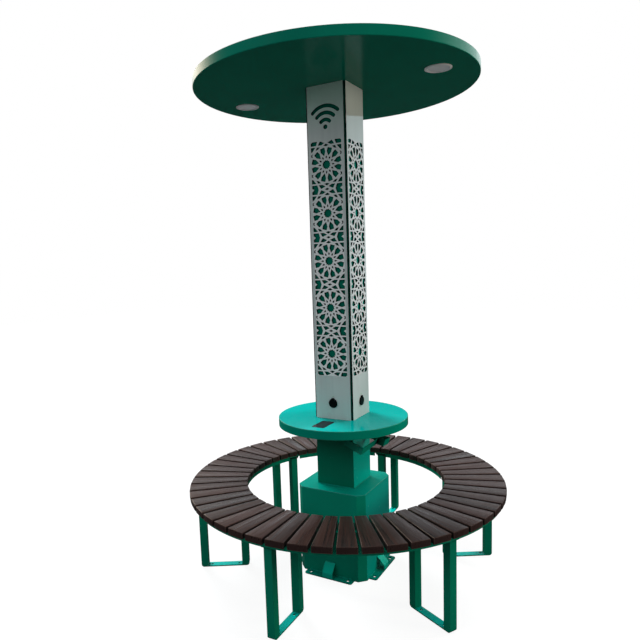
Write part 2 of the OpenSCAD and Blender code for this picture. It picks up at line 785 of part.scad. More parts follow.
module slat_screws() color([0.62, 0.63, 0.64]) {
    for (i = [0 : slat_count - 1]) rotate([0, 0, i * slat_pitch_deg + bench_turn])
        for (r = [screw_in_r, screw_out_r]) translate([r, 0, 0]) countersunk(ring_low);
}

module screw_cut(r) {
    for (i = [0 : slat_count - 1]) rotate([0, 0, i * slat_pitch_deg + bench_turn]) translate([r, 0, 0]) {
        translate([0, 0, ring_low]) cylinder(r1 = screw_head_r + seat_gap, r2 = screw_r + seat_gap,
            h = screw_head_h);
        translate([0, 0, ring_low - eps]) cylinder(r = screw_r + seat_gap, h = ring_t + 2 * eps);
    }
}

module leg_bolt_cut(r, low, h) {
    ring_of(leg_count, leg_first_deg) for (s = [-1, 1])
        translate([r, s * leg_bolt_side, low - eps])
            cylinder(r = leg_bolt_r + seat_gap, h = h + 2 * eps);
}

module ring_inner() color([0.0, 0.40, 0.34]) {
    profile = [[ring_in_r, ring_low - ring_lip_h], [ring_in_r + lip_t, ring_low - ring_lip_h],
        [ring_in_r + lip_t, ring_low], [ring_in_outer_r, ring_low], [ring_in_outer_r, slat_low],
        [ring_in_r, slat_low]];
    difference() {
        rotate_extrude($fn = 180) polygon(profile);
        screw_cut(screw_in_r);
        leg_bolt_cut(leg_bolt_in_r, ring_low, ring_t);
        ring_of(leg_count, leg_first_deg) lip_notch(ring_in_r - lip_t, 3 * lip_t);
    }
}

module lip_notch(r, deep) {
    translate([r, -leg_plate_w / 2, ring_low - ring_lip_h - eps])
        cube([deep, leg_plate_w, ring_lip_h + eps]);
}

module ring_outer() color([0.0, 0.44, 0.38]) {
    profile = [[ring_out_inner_r, ring_low], [ring_out_r - lip_t, ring_low],
        [ring_out_r - lip_t, ring_low - ring_out_lip_h], [ring_out_r, ring_low - ring_out_lip_h],
        [ring_out_r, slat_low], [ring_out_inner_r, slat_low]];
    difference() {
        rotate_extrude($fn = 180) polygon(profile);
        screw_cut(screw_out_r);
        leg_bolt_cut(leg_bolt_out_r, ring_low, ring_t);
    }
}

module leg_profile() {
    r = leg_corner_r;
    translate([leg_in_r + r, 0]) square([leg_out_r - leg_in_r - 2 * r, leg_h]);
    translate([leg_in_r, r]) square([leg_out_r - leg_in_r, leg_h - r]);
    translate([leg_in_r + r, r]) circle(r = r);
    translate([leg_out_r - r, r]) circle(r = r);
}

module leg(i) color([0.0, 0.40, 0.34]) {
    half = leg_plate_w / 2;
    plate = [[leg_plate_in, -half + leg_plate_chamfer], [leg_plate_in + leg_plate_chamfer, -half],
        [leg_plate_out - leg_plate_chamfer, -half], [leg_plate_out, -half + leg_plate_chamfer],
        [leg_plate_out, half - leg_plate_chamfer], [leg_plate_out - leg_plate_chamfer, half],
        [leg_plate_in + leg_plate_chamfer, half], [leg_plate_in, half - leg_plate_chamfer]];
    rotate([0, 0, leg_first_deg + (i - 1) * 360 / leg_count]) difference() {
        union() {
            translate([0, leg_tube / 2, 0]) rotate([90, 0, 0])
                linear_extrude(height = leg_tube) difference() {
                    leg_profile();
                    translate([leg_in_r + leg_tube, leg_strip_t])
                        square([leg_out_r - leg_in_r - 2 * leg_tube, leg_h]);
                }
            translate([0, 0, leg_h]) linear_extrude(height = leg_top_plate_t) polygon(plate);
        }
        for (r = [leg_hole_in_r, leg_hole_out_r]) translate([r, 0, -eps])
            cylinder(r = leg_hole_r, h = leg_strip_t + 2 * eps);
        for (r = [leg_bolt_in_r, leg_bolt_out_r], s = [-1, 1])
            translate([r, s * leg_bolt_side, leg_h - eps])
                cylinder(r = leg_bolt_r + seat_gap, h = leg_top_plate_t + 2 * eps);
    }
}

module leg_bolts() color([0.62, 0.63, 0.64]) {
    ring_of(leg_count, leg_first_deg) for (r = [leg_bolt_in_r, leg_bolt_out_r], s = [-1, 1])
        translate([r, s * leg_bolt_side, leg_h]) {
            translate([0, 0, -leg_bolt_head_h])
                cylinder(r = leg_bolt_head_r, h = leg_bolt_head_h, $fn = 6);
            cylinder(r = leg_bolt_r, h = leg_top_plate_t + ring_t);
        }
}

function slat_corners(inset, z) = [[bench_in_r + inset, -slat_half_in + inset, z],
    [bench_out_r - inset, -slat_half_out + inset, z], [bench_out_r - inset, slat_half_out - inset, z],
    [bench_in_r + inset, slat_half_in - inset, z]];

module slat() {
    r = slat_edge_r;
    far_share = 0.29;
    points = concat(slat_corners(0, slat_low), slat_corners(0, seat_top - r),
        slat_corners(r * far_share, seat_top - r * far_share), slat_corners(r, seat_top));
    sides = [for (k = [0 : 2], i = [0 : 3])
        [k * 4 + i, k * 4 + 4 + i, k * 4 + 4 + (i + 1) % 4, k * 4 + (i + 1) % 4]];
    polyhedron(points = points, faces = concat([[0, 1, 2, 3]], sides, [[15, 14, 13, 12]]));
}

module slat_group(g) color([0.24, 0.17, 0.14]) {
    n = slat_count / slat_groups;
    for (i = [0 : n - 1]) rotate([0, 0, ((g - 1) * n + i) * slat_pitch_deg + bench_turn]) difference() {
        slat();
        for (r = [screw_in_r, screw_out_r]) translate([r, 0, slat_low - eps])
            cylinder(r = screw_r + seat_gap, h = screw_reach + seat_gap + eps);
    }
}

base_box();
base_floor();
base_lid();
foot(0);  // foot_front
foot(90);  // foot_right
foot(180);  // foot_rear
foot(270);  // foot_left
foot_straps();
service_door();
door_lock();
battery();
charge_controller();
network_router();
usb_supply();
lower_post();
post_flange();
table_pan();
table_ribs();
bag_hook();
charge_pad();
charge_coil();
core_foot_plate();
core_tube();
lattice_panel(0, true);  // panel_front
lattice_panel(90, false);  // panel_right
lattice_panel(180, false);  // panel_rear
lattice_panel(270, false);  // panel_left
socket_bodies();
socket_cap(0);  // cap_front
socket_cap(90);  // cap_right
socket_cap(180);  // cap_rear
socket_cap(270);  // cap_left
led_dots();
core_head_plate();
canopy_pan();
canopy_head_plate();
canopy_ribs();
pv_backsheet();
pv_cells();
pv_glass();
downlight_housings();
downlight_lenses();
downlight_boards();
frame_bolts();
cable_conduit();
ring_inner();
ring_outer();
leg(1);  // leg_1
leg(2);  // leg_2
leg(3);  // leg_3
leg(4);  // leg_4
leg(5);  // leg_5
leg(6);  // leg_6
leg_bolts();
slat_group(1);  // slats_1
slat_group(2);  // slats_2
slat_group(3);  // slats_3
slat_group(4);  // slats_4
slat_group(5);  // slats_5
slat_screws();
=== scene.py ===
"""Looks of the solar charging table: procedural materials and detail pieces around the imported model."""
import math
import random

import bmesh
import bpy
from mathutils import Matrix, Vector


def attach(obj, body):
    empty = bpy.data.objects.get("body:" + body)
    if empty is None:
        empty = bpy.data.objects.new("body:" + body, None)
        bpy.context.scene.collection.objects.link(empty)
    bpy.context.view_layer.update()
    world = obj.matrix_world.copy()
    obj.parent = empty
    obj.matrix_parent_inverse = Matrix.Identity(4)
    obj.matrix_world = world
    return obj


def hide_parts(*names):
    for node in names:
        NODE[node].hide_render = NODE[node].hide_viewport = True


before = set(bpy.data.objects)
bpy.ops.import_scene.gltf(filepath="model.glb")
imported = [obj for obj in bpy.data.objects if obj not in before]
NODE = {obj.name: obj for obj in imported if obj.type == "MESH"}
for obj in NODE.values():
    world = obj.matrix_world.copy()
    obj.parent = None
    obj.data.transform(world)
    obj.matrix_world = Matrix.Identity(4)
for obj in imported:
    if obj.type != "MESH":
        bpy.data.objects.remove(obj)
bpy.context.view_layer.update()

# Camera, solved from the photograph's edges and round rims
AZ, DIST, EYE = 0.4596, 3.0, 1.5556
PITCH, YAW, ROLL = 0.1249, 0.0788, -0.0365
FOCAL_PX, CX, CY, SIZE_PX = 593.79, 294.43, 341.11, 640.0
SENSOR_MM = 36
FAR_M = 60


def make_camera():
    look = Vector((-math.sin(AZ + YAW), math.cos(AZ + YAW), 0))
    fwd = look * math.cos(PITCH) + Vector((0, 0, -1)) * math.sin(PITCH)
    right = fwd.cross(Vector((0, 0, 1))).normalized()
    up = right.cross(fwd)
    r = right * math.cos(ROLL) + up * math.sin(ROLL)
    u = -right * math.sin(ROLL) + up * math.cos(ROLL)
    cam = bpy.data.cameras.new("camera")
    obj = bpy.data.objects.new("camera", cam)
    bpy.context.scene.collection.objects.link(obj)
    turn = Matrix((r, u, -fwd)).transposed().to_4x4()
    obj.matrix_world = Matrix.Translation((DIST * math.sin(AZ), -DIST * math.cos(AZ), EYE)) @ turn
    cam.sensor_width = SENSOR_MM
    cam.lens = FOCAL_PX * SENSOR_MM / SIZE_PX
    cam.shift_x = 0.5 - CX / SIZE_PX
    cam.shift_y = CY / SIZE_PX - 0.5
    cam.clip_end = FAR_M
    bpy.context.scene.camera = obj


make_camera()


# Colours are written as on a screen and turned into linear values here
def lin(r, g, b):
    def linear(c):
        return c / 12.92 if c <= 0.04045 else ((c + 0.055) / 1.055) ** 2.4
    return (linear(r / 255), linear(g / 255), linear(b / 255), 1.0)


def toned(colour, gain, lift=0.0):
    """The colour made brighter or darker, no channel above 1."""
    return tuple(min(1, c * gain + lift) for c in colour[:3]) + (1,)


# Samples of a bevel or nook look-up
NEAR_SAMPLES = 4


class Tree:
    """Small helper that adds shader nodes and links them."""

    def __init__(self, name):
        self.mat = bpy.data.materials.new(name)
        self.mat.use_nodes = True
        self.t = self.mat.node_tree
        self.n = self.t.nodes
        self.n.clear()
        self.out = self.n.new("ShaderNodeOutputMaterial")
        self.p = self.n.new("ShaderNodeBsdfPrincipled")
        self.t.links.new(self.p.outputs[0], self.out.inputs[0])
        self.obj = self.n.new("ShaderNodeTexCoord").outputs["Object"]

    def link(self, a, b):
        self.t.links.new(a, b)

    def put(self, socket, value):
        if hasattr(value, "is_linked"):
            self.link(value, socket)
        else:
            socket.default_value = value

    def scaled(self, sx, sy, sz):
        m = self.n.new("ShaderNodeMapping")
        m.inputs["Scale"].default_value = (sx, sy, sz)
        self.link(self.obj, m.inputs[0])
        return m.outputs[0]

    def noise(self, scale, detail=4.0, rough=0.5, vec=None):
        k = self.n.new("ShaderNodeTexNoise")
        k.inputs["Scale"].default_value = scale
        k.inputs["Detail"].default_value = detail
        k.inputs["Roughness"].default_value = rough
        self.link(vec or self.obj, k.inputs["Vector"])
        return k.outputs[0]

    def cells(self, scale):
        k = self.n.new("ShaderNodeTexVoronoi")
        k.inputs["Scale"].default_value = scale
        self.link(self.obj, k.inputs["Vector"])
        return k.outputs["Distance"]

    def span(self, value, low, high, to_low=0.0, to_high=1.0):
        k = self.n.new("ShaderNodeMapRange")
        k.clamp = True
        self.link(value, k.inputs[0])
        for i, v in enumerate((low, high, to_low, to_high)):
            k.inputs[i + 1].default_value = v
        return k.outputs[0]

    def math(self, op, a, b=0.5):
        k = self.n.new("ShaderNodeMath")
        k.operation = op
        self.put(k.inputs[0], a)
        self.put(k.inputs[1], b)
        return k.outputs[0]

    def mix(self, fac, a, b):
        k = self.n.new("ShaderNodeMix")
        k.data_type = "RGBA"
        self.put(k.inputs[0], fac)
        self.put(k.inputs[6], a)
        self.put(k.inputs[7], b)
        return k.outputs[2]

    def rounded(self, radius):
        bev = self.n.new("ShaderNodeBevel")
        bev.samples = NEAR_SAMPLES
        bev.inputs["Radius"].default_value = radius
        return bev.outputs[0]

    def edge(self, radius):
        """1 where an edge is nearer than the radius, 0 on flat ground."""
        geo = self.n.new("ShaderNodeNewGeometry")
        dot = self.n.new("ShaderNodeVectorMath")
        dot.operation = "DOT_PRODUCT"
        self.link(self.rounded(radius), dot.inputs[0])
        self.link(geo.outputs["Normal"], dot.inputs[1])
        return self.span(dot.outputs["Value"], 0.995, 0.90)

    def nook(self, dist, open_at=0.85, shut_at=0.35):
        """1 in a nook or beside a neighbour, 0 in the open."""
        ao = self.n.new("ShaderNodeAmbientOcclusion")
        ao.samples = NEAR_SAMPLES
        ao.inputs["Distance"].default_value = dist
        return self.span(ao.outputs["AO"], open_at, shut_at)

    def parts(self, vector):
        k = self.n.new("ShaderNodeSeparateXYZ")
        self.link(vector, k.inputs[0])
        return k.outputs

    def xyz(self):
        return self.parts(self.obj)

    def normal(self, axis):
        return self.parts(self.n.new("ShaderNodeTexCoord").outputs["Normal"])[axis]

    def facing(self, axis):
        """1 on faces square to the axis (0, 1 or 2), 0 on the rest."""
        return self.span(self.math("ABSOLUTE", self.normal(axis)), 0.80, 0.92)

    def toward(self, axis, sign):
        """1 on faces that look along the axis in the sign's sense, 0 on the rest."""
        return self.span(self.math("MULTIPLY", self.normal(axis), sign), 0.75, 0.95)

    def relief(self, height, strength, dist, soft=0.0):
        k = self.n.new("ShaderNodeBump")
        k.inputs["Strength"].default_value = strength
        k.inputs["Distance"].default_value = dist
        self.link(height, k.inputs["Height"])
        if soft:
            self.link(self.rounded(soft), k.inputs["Normal"])
        self.link(k.outputs[0], self.p.inputs["Normal"])

    def finish(self, color, rough, metal=0.0, spec=0.5):
        self.put(self.p.inputs["Base Color"], color)
        self.put(self.p.inputs["Roughness"], rough)
        self.p.inputs["Metallic"].default_value = metal
        self.put(self.p.inputs["Specular IOR Level"], spec)
        return self.mat


# Width of the painted highlight line along a paint's edges
RIM_LINE = 0.0012
# Half the height of the blend where a paint's painted shade above a given height begins
ABOVE_BLEND = 0.0004


def paint(name, base, rough=0.22, spec=0.20, edge_mm=1.6, peel=0.02, nook_shade=0.12, soft_mm=1.5,
          lit_side_tones=(), nook_mm=30.0, rim=None, rim_highlight_share=0.0, shaded_above=None, nook_shade_colour=(2, 26, 21),
          nook_at=(0.85, 0.35), under_spec=None):
    """Powder coat with orange peel, paler worn edges and painted shade in its nooks.

    lit_side_tones paints faces of one direction lighter or darker as the light and shade they get,
    shaded_above paints all that is higher than a height as shade, rim draws a painted highlight along the
    edges and under_spec is the gloss of faces that look down.
    """
    t = Tree(name)
    patch = t.span(t.noise(2.3, 3.0), 0.3, 0.7)
    fine = t.span(t.noise(38.0, 5.0, 0.6), 0.35, 0.75)
    color = t.mix(patch, toned(base, 0.88), toned(base, 1.10))
    color = t.mix(t.math("MULTIPLY", fine, 0.08), color, lin(20, 120, 108))
    # Faces looking one way painted lighter or darker: painted light and shade of that side.
    for axis, sign, tone in lit_side_tones:
        color = t.mix(t.toward(axis, sign), color, t.mix(patch, toned(tone, 0.9), tone))
    # All higher than a height painted in a colour of its own: painted shade.
    if shaded_above:
        height, tone = shaded_above
        color = t.mix(t.span(t.xyz()[2], height - ABOVE_BLEND, height + ABOVE_BLEND), color, tone)
    uneven = t.span(t.noise(60.0, 4.0, 0.7), 0.40, 0.62, 0.25, 0.75)
    worn = t.math("MULTIPLY", t.edge(edge_mm / 1000), uneven)
    color = t.mix(worn, color, toned(base, 1.35, 0.03))
    # A pale line along the edges: a painted highlight.
    if rim:
        color = t.mix(t.math("MULTIPLY", t.edge(RIM_LINE), rim_highlight_share), color, rim)
    # Nooks and the sides of neighbours painted darker: painted shade.
    color = t.mix(t.math("MULTIPLY", t.nook(nook_mm / 1000, *nook_at), nook_shade), color, lin(*nook_shade_colour))
    orange = t.math("ADD", t.noise(260.0, 2.0), t.math("MULTIPLY", t.noise(30.0, 2.0), 0.6))
    t.relief(orange, peel, 0.0015, soft_mm / 1000)
    if under_spec is not None:
        spec = t.span(t.toward(2, -1), 0.0, 1.0, spec, under_spec)
    return t.finish(color, t.span(fine, 0.0, 1.0, rough * 0.85, rough * 1.35), spec=spec)


# The lattice of a panel: where its side, top and lower limits lie, each as the ends of a short blend
LATTICE_SIDE = (0.0808, 0.0820)
LATTICE_TOP = (2.1412, 2.1424)
LATTICE_LOW = (1.0096, 1.0108)


def panel_steel(name, axis, k, lit_strip_grey, top=None, lit_strip_top=0.9):
    """Light grey satin panel: faint haze, rain streaks, a painted highlight along its edges and painted
    shade on its cut walls.

    axis is the way the panel faces, k its brightness, painted as the light and shade that side gets,
    lit_strip_grey the painted lit grey of the lattice's strips and lit_strip_top their share at the top,
    where the canopy shades them; top is the painted green cast of the canopy's shade on the panel's head.
    """
    t = Tree(name)
    z = t.xyz()[2]
    haze = t.span(t.noise(1.0, 4.0, 0.55, t.scaled(9, 9, 0.9)), 0.3, 0.7)
    color = t.mix(haze, lin(204 * k, 213 * k, 211 * k), lin(218 * k, 225 * k, 223 * k))
    streak = t.span(t.noise(1.0, 3.0, 0.5, t.scaled(60, 60, 1.6)), 0.52, 0.75, 0.0, 0.12)
    color = t.mix(streak, color, lin(150, 164, 162))
    # The panel's head painted with the green cast of the canopy's shade.
    if top:
        color = t.mix(t.span(z, 2.18, 2.36), color, top)
    # The lattice's strips painted a lighter grey as lit, less so towards the top where the canopy shades
    # them.
    along = t.math("ABSOLUTE", t.xyz()[1 - axis])
    strips = t.math("MULTIPLY", t.span(along, *LATTICE_SIDE, 1.0, 0.0), t.span(z, *LATTICE_TOP, 1.0, 0.0))
    strips = t.math("MULTIPLY", strips, t.span(z, *LATTICE_LOW))
    share = t.math("MULTIPLY", strips, t.span(z, 1.55, 2.05, 0.9, lit_strip_top))
    color = t.mix(share, color, lin(lit_strip_grey, lit_strip_grey, lit_strip_grey - 1))
    # Edges painted near white: a painted highlight.
    color = t.mix(t.math("MULTIPLY", t.edge(0.0024), 0.95), color, lin(254, 254, 252))
    # Faces not square to the panel's facing, its cut walls, painted near black as shade.
    cut_shade = t.mix(t.span(t.noise(90.0, 3.0), 0.3, 0.7), lin(0, 12, 10), lin(4, 26, 22))
    color = t.mix(t.facing(axis), cut_shade, color)
    t.relief(t.math("ADD", t.noise(420.0, 2.0), t.noise(26.0, 2.0)), 0.05, 0.001, 0.0004)
    return t.finish(color, t.span(haze, 0, 1, 0.34, 0.46), spec=0.4)


def slat_wood(name, seed):
    """Dark brown wood composite: long fine grain, brushed bands, paler worn edges, own tone, sides and ends
    painted in a colour of their own as their light and shade, and near-black painted shade in the gaps
    between slats.
    """
    t = Tree(name)
    vec = t.n.new("ShaderNodeAttribute")
    vec.attribute_name = "grain"
    own = t.n.new("ShaderNodeAttribute")
    own.attribute_name = "tone"

    def along(sx, sy, sz):
        m = t.n.new("ShaderNodeMapping")
        m.inputs["Scale"].default_value = (sx, sy, sz)
        m.inputs["Location"].default_value = (seed * 3.1, seed * 1.7, 0)
        t.link(vec.outputs["Vector"], m.inputs[0])
        return m.outputs[0]

    fine = t.noise(1.0, 6.0, 0.65, along(7, 560, 300))
    band = t.noise(1.0, 4.0, 0.6, along(1.6, 85, 50))
    color = t.mix(own.outputs["Fac"], lin(25, 19, 20), lin(60, 28, 21))
    color = t.mix(t.span(band, 0.38, 0.66, 0.0, 0.75), color, lin(70, 42, 34))
    color = t.mix(t.span(fine, 0.38, 0.60, 0.8, 0.0), color, lin(12, 7, 6))
    # Sides and ends painted in a colour of their own: painted light and shade of those faces.
    color = t.mix(t.span(t.facing(2), 0, 1, 0.85, 0.0), color, lin(56, 38, 36))
    wear = t.math("MULTIPLY", t.edge(0.004), t.span(t.noise(40.0, 4.0, 0.7), 0.35, 0.65, 0.15, 0.8))
    color = t.mix(wear, color, lin(126, 102, 92))
    # Gap walls painted near black: painted shade between the slats.
    color = t.mix(t.math("MULTIPLY", t.nook(0.025, 0.80, 0.45), 0.95), color, lin(5, 3, 3))
    t.p.inputs["Sheen Weight"].default_value = 0.03
    t.p.inputs["Sheen Roughness"].default_value = 0.5
    t.p.inputs["Sheen Tint"].default_value = (1.0, 0.93, 0.88, 1)
    height = t.math("ADD", t.math("MULTIPLY", fine, 0.8), t.math("MULTIPLY", band, 0.9))
    t.relief(height, 0.30, 0.0009)
    rough = t.math("ADD", t.span(fine, 0.3, 0.7, 0.20, 0.30), t.span(band, 0.35, 0.65, 0.0, 0.16))
    return t.finish(color, rough, spec=t.span(band, 0.38, 0.62, 0.48, 0.26))


def plastic(name, base, rough, grain=900.0, spec=0.45, peel=0.12):
    t = Tree(name)
    fine = t.span(t.noise(grain, 3.0), 0.3, 0.7)
    color = t.mix(fine, base, toned(base, 1.35, 0.004))
    # Edges painted paler: a painted highlight.
    color = t.mix(t.math("MULTIPLY", t.edge(0.0008), 0.35), color, toned(base, 2, 0.03))
    t.relief(t.noise(grain, 3.0), peel, 0.0004, 0.0005)
    return t.finish(color, t.span(t.noise(14.0, 3.0), 0.3, 0.7, rough * 0.85, rough * 1.2), spec=spec)


def bare_metal(name, base, rough):
    t = Tree(name)
    brushed = t.noise(1.0, 3.0, 0.5, t.scaled(30, 900, 900))
    color = t.mix(t.span(t.cells(220.0), 0.0, 0.6), base, toned(base, 1.2))
    t.relief(brushed, 0.15, 0.0003, 0.0004)
    return t.finish(color, t.span(brushed, 0.3, 0.7, rough * 0.8, rough * 1.3), metal=1.0)


def solar_cell(name):
    """Dark blue crystalline cell with fine collector fingers, 500 to the metre."""
    t = Tree(name)
    facets = t.cells(70.0)
    color = t.mix(t.span(facets, 0.0, 0.6), lin(8, 14, 44), lin(22, 40, 92))
    finger = t.math("GREATER_THAN", t.math("FRACT", t.math("MULTIPLY", t.xyz()[0], 500.0)), 0.86)
    color = t.mix(t.math("MULTIPLY", finger, 0.35), color, lin(120, 130, 150))
    t.relief(facets, 0.05, 0.0004)
    return t.finish(color, 0.25, spec=0.6)


def clear_glass(name):
    t = Tree(name)
    t.relief(t.noise(1400.0, 2.0), 0.06, 0.0003)
    t.p.inputs["Transmission Weight"].default_value = 1.0
    t.p.inputs["IOR"].default_value = 1.45
    return t.finish((0.93, 0.97, 0.97, 1), t.span(t.noise(9.0, 3.0), 0.3, 0.7, 0.04, 0.10))


# Just below the plate on top of each leg frame
LEG_PLATE_LOW = 0.4157
# Axis and sense of the faces that get painted light or shade of their own
FRONT, RIGHT, UP, DOWN = (1, -1), (0, 1), (2, 1), (2, -1)

M = {
    # hook_paint: its nooks painted darker as the deep shade under the table.
    "hook": paint("hook_paint", lin(0, 146, 122), rough=0.45, spec=0.02, edge_mm=0.6, soft_mm=0.4,
                  nook_shade=0.9, nook_mm=60.0),
    # lid_paint: a painted highlight line along its edges and a little painted shade in its nooks.
    "lid": paint("lid_paint", lin(0, 156, 136), rough=0.38, spec=0.02, peel=0.004, nook_shade=0.06,
                 rim=lin(170, 224, 212), rim_highlight_share=0.8),
    # foot_paint and strap_paint are one green: the foot painted darker as shade, the strap painted brighter
    # as lit.
    "foot": paint("foot_paint", lin(0, 138, 118), spec=0.12, edge_mm=1.2),
    "strap": paint("strap_paint", lin(0, 194, 168), spec=0.15, edge_mm=1.2),
    # leg_paint: faces looking up painted brighter as lit; all above the plates' foot painted dark as the
    # shade under the ring.
    "leg": paint("leg_paint", lin(0, 134, 104), spec=0.15, lit_side_tones=((*UP, lin(0, 194, 180)),),
                 shaded_above=(LEG_PLATE_LOW, lin(0, 56, 44))),
    # box_paint: faces looking right painted brighter as lit.
    "box": paint("box_paint", lin(0, 150, 122), lit_side_tones=((*RIGHT, lin(0, 166, 150)),)),
    # table_paint: the top painted brighter as lit, with a painted highlight line along its edges.
    "table": paint("table_paint", lin(0, 146, 122), rough=0.09, spec=0.03, edge_mm=2.0,
                   lit_side_tones=((*UP, lin(0, 174, 163)),), rim=lin(190, 226, 218), rim_highlight_share=0.55),
    # core_paint: the green darkened and its nooks painted near black as the shade behind the panels; faces
    # looking right painted brighter as lit.
    "core": paint("core_paint", lin(0, 118, 96), rough=0.40, spec=0.04, nook_shade=0.98, nook_mm=18.0,
                  nook_shade_colour=(0, 7, 5), nook_at=(0.78, 0.46), lit_side_tones=((*RIGHT, lin(0, 126, 110)),)),
    # post_paint: faces looking to the front painted darker as shade, those looking right painted brighter
    # as lit.
    "post": paint("post_paint", lin(0, 152, 126),
                  lit_side_tones=((*FRONT, lin(0, 122, 96)), (*RIGHT, lin(0, 188, 172)))),
    # canopy_paint: faces looking down painted darker as the shade under the canopy.
    "canopy": paint("canopy_paint", lin(0, 132, 108), rough=0.16, spec=0.13, edge_mm=1.2,
                    under_spec=0.06, lit_side_tones=((*DOWN, lin(0, 118, 95)),)),
    "frame": paint("frame_paint", lin(0, 134, 104), spec=0.15),
    "inside": paint("inner_paint", lin(0, 96, 82), rough=0.35),
    # The four panel greys are one steel: each side painted brighter or darker as the light it gets.
    "panel_y": panel_steel("panel_grey", 1, 1.0, 255, top=lin(222, 250, 236), lit_strip_top=0.10),
    "panel_x": panel_steel("panel_grey_side", 0, 0.93, 210),
    "panel_r": panel_steel("panel_grey_rear", 1, 0.86, 204),
    "panel_l": panel_steel("panel_grey_left", 0, 0.86, 204),
    "black": plastic("black_plastic", lin(4, 4, 5), 0.40, spec=0.10),
    "pad": plastic("pad_surface", lin(6, 18, 22), 0.20, 1500.0, 0.10, 0.05),
    "battery": plastic("battery_case", lin(44, 47, 52), 0.55, 500.0),
    "controller": plastic("controller_case", lin(44, 66, 98), 0.40, 700.0),
    "router": plastic("router_case", lin(30, 31, 34), 0.50, 800.0),
    "supply": bare_metal("supply_case", lin(196, 198, 200), 0.38),
    "zinc": bare_metal("zinc_steel", lin(188, 192, 196), 0.34),
    "copper": bare_metal("copper_coil", lin(196, 122, 82), 0.30),
    "brass": bare_metal("brass_post", lin(198, 164, 96), 0.28),
    "led": plastic("led_green", lin(150, 190, 160), 0.25, 300.0),
    "sheet": plastic("back_sheet", lin(208, 210, 212), 0.5, 600.0),
    "cell": solar_cell("cell_blue"),
    "glass": clear_glass("clear_glass"),
    "trim": paint("light_trim", lin(250, 238, 240), rough=0.35, edge_mm=0.8),
    "lens": plastic("lens_white", lin(252, 238, 242), 0.40, 500.0),
    "board": plastic("board_white", lin(216, 216, 208), 0.45, 400.0),
    "rubber": plastic("rubber_seal", lin(20, 21, 21), 0.75, 1200.0, 0.3),
    "weld": paint("weld_paint", lin(0, 156, 134), rough=0.30, peel=0.4, edge_mm=0.6),
}
CAD_LOOK = {
    "box": "base_box service_door",
    "table": "table_pan",
    "core": "core_tube core_foot_plate core_head_plate",
    "canopy": "canopy_pan",
    "frame": "ring_inner ring_outer",
    "leg": "leg_1 leg_2 leg_3 leg_4 leg_5 leg_6",
    "lid": "base_lid",
    "foot": "foot_front foot_right foot_rear foot_left",
    "strap": "foot_straps",
    "hook": "bag_hook",
    "post": "lower_post",
    "inside": "base_floor post_flange table_ribs canopy_head_plate canopy_ribs",
    "panel_y": "panel_front",
    "panel_r": "panel_rear",
    "panel_x": "panel_right",
    "panel_l": "panel_left",
    "pad": "charge_pad",
    "black": "socket_bodies cap_front cap_right cap_rear cap_left cable_conduit",
    "router": "network_router",
    "battery": "battery",
    "controller": "charge_controller",
    "supply": "usb_supply",
    "copper": "charge_coil",
    "zinc": "door_lock frame_bolts leg_bolts slat_screws",
    "led": "led_dots",
    "sheet": "pv_backsheet",
    "cell": "pv_cells",
    "glass": "pv_glass",
    "trim": "downlight_housings",
    "lens": "downlight_lenses",
    "board": "downlight_boards",
}
for key, names in CAD_LOOK.items():
    for name in names.split():
        slots = NODE[name].data.materials
        if len(slots):
            for i in range(len(slots)):
                slots[i] = M[key]
        else:
            slots.append(M[key])


# Pieces
def piece(name, bm, mat, body="stand", smooth=True):
    mesh = bpy.data.meshes.new(name)
    bmesh.ops.recalc_face_normals(bm, faces=bm.faces)
    bm.to_mesh(mesh)
    bm.free()
    mesh.materials.append(mat)
    if smooth:
        mesh.shade_smooth()
    obj = bpy.data.objects.new(name, mesh)
    bpy.context.scene.collection.objects.link(obj)
    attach(obj, body)
    return obj


def skin(bm, a, b):
    """Faces between two rings of points."""
    n = len(a)
    for k in range(n):
        bm.faces.new((a[k], a[(k + 1) % n], b[(k + 1) % n], b[k]))


def sweep(bm, path, radius, sides=8, closed=False, flat=1.0, wobble=0.0, seed=1):
    """A round bead along a path; wobble gives a weld its ripples."""
    rnd = random.Random(seed)
    n = len(path)
    rings = []
    for i, p in enumerate(path):
        a = path[(i - 1) % n] if closed or i else path[0]
        b = path[(i + 1) % n] if closed or i < n - 1 else path[-1]
        way = (Vector(b) - Vector(a)).normalized()
        side = way.cross(Vector((0, 0, 1)))
        side = side.normalized() if side.length > 1e-4 else Vector((1, 0, 0))
        up = side.cross(way)
        r = radius * (1 + wobble * (0.6 * math.sin(i * 2.1) + rnd.uniform(-0.5, 0.5)))
        ring = []
        for k in range(sides):
            t = 2 * math.pi * k / sides
            offset = side * (r * math.cos(t)) + up * (r * flat * math.sin(t))
            ring.append(bm.verts.new(Vector(p) + offset))
        rings.append(ring)
    for i in range(n if closed else n - 1):
        skin(bm, rings[i], rings[(i + 1) % n])
    if not closed:
        bm.faces.new(rings[0])
        bm.faces.new(list(reversed(rings[-1])))


def run(a, b, step):
    """Points from a to b, about a step apart."""
    a, b = Vector(a), Vector(b)
    n = max(2, int((b - a).length / step))
    return [a + (b - a) * (i / n) for i in range(n + 1)]


def circle(r, z, n):
    """n points of a level circle about the column's axis."""
    turns = [2 * math.pi * k / n for k in range(n)]
    return [Vector((r * math.cos(t), r * math.sin(t), z)) for t in turns]


def lathe(bm, profile, centre, axis="Z", steps=48):
    """Turns a closed profile of (radius, height) points about an axis through the centre."""
    rings = []
    for i in range(steps):
        t = 2 * math.pi * i / steps
        ring = []
        for r, h in profile:
            if axis == "Z":
                v = Vector((r * math.cos(t), r * math.sin(t), h))
            else:
                v = Vector((r * math.cos(t), h, r * math.sin(t)))
            ring.append(bm.verts.new(v + Vector(centre)))
        rings.append(ring)
    for i in range(steps):
        skin(bm, rings[i], rings[(i + 1) % steps])


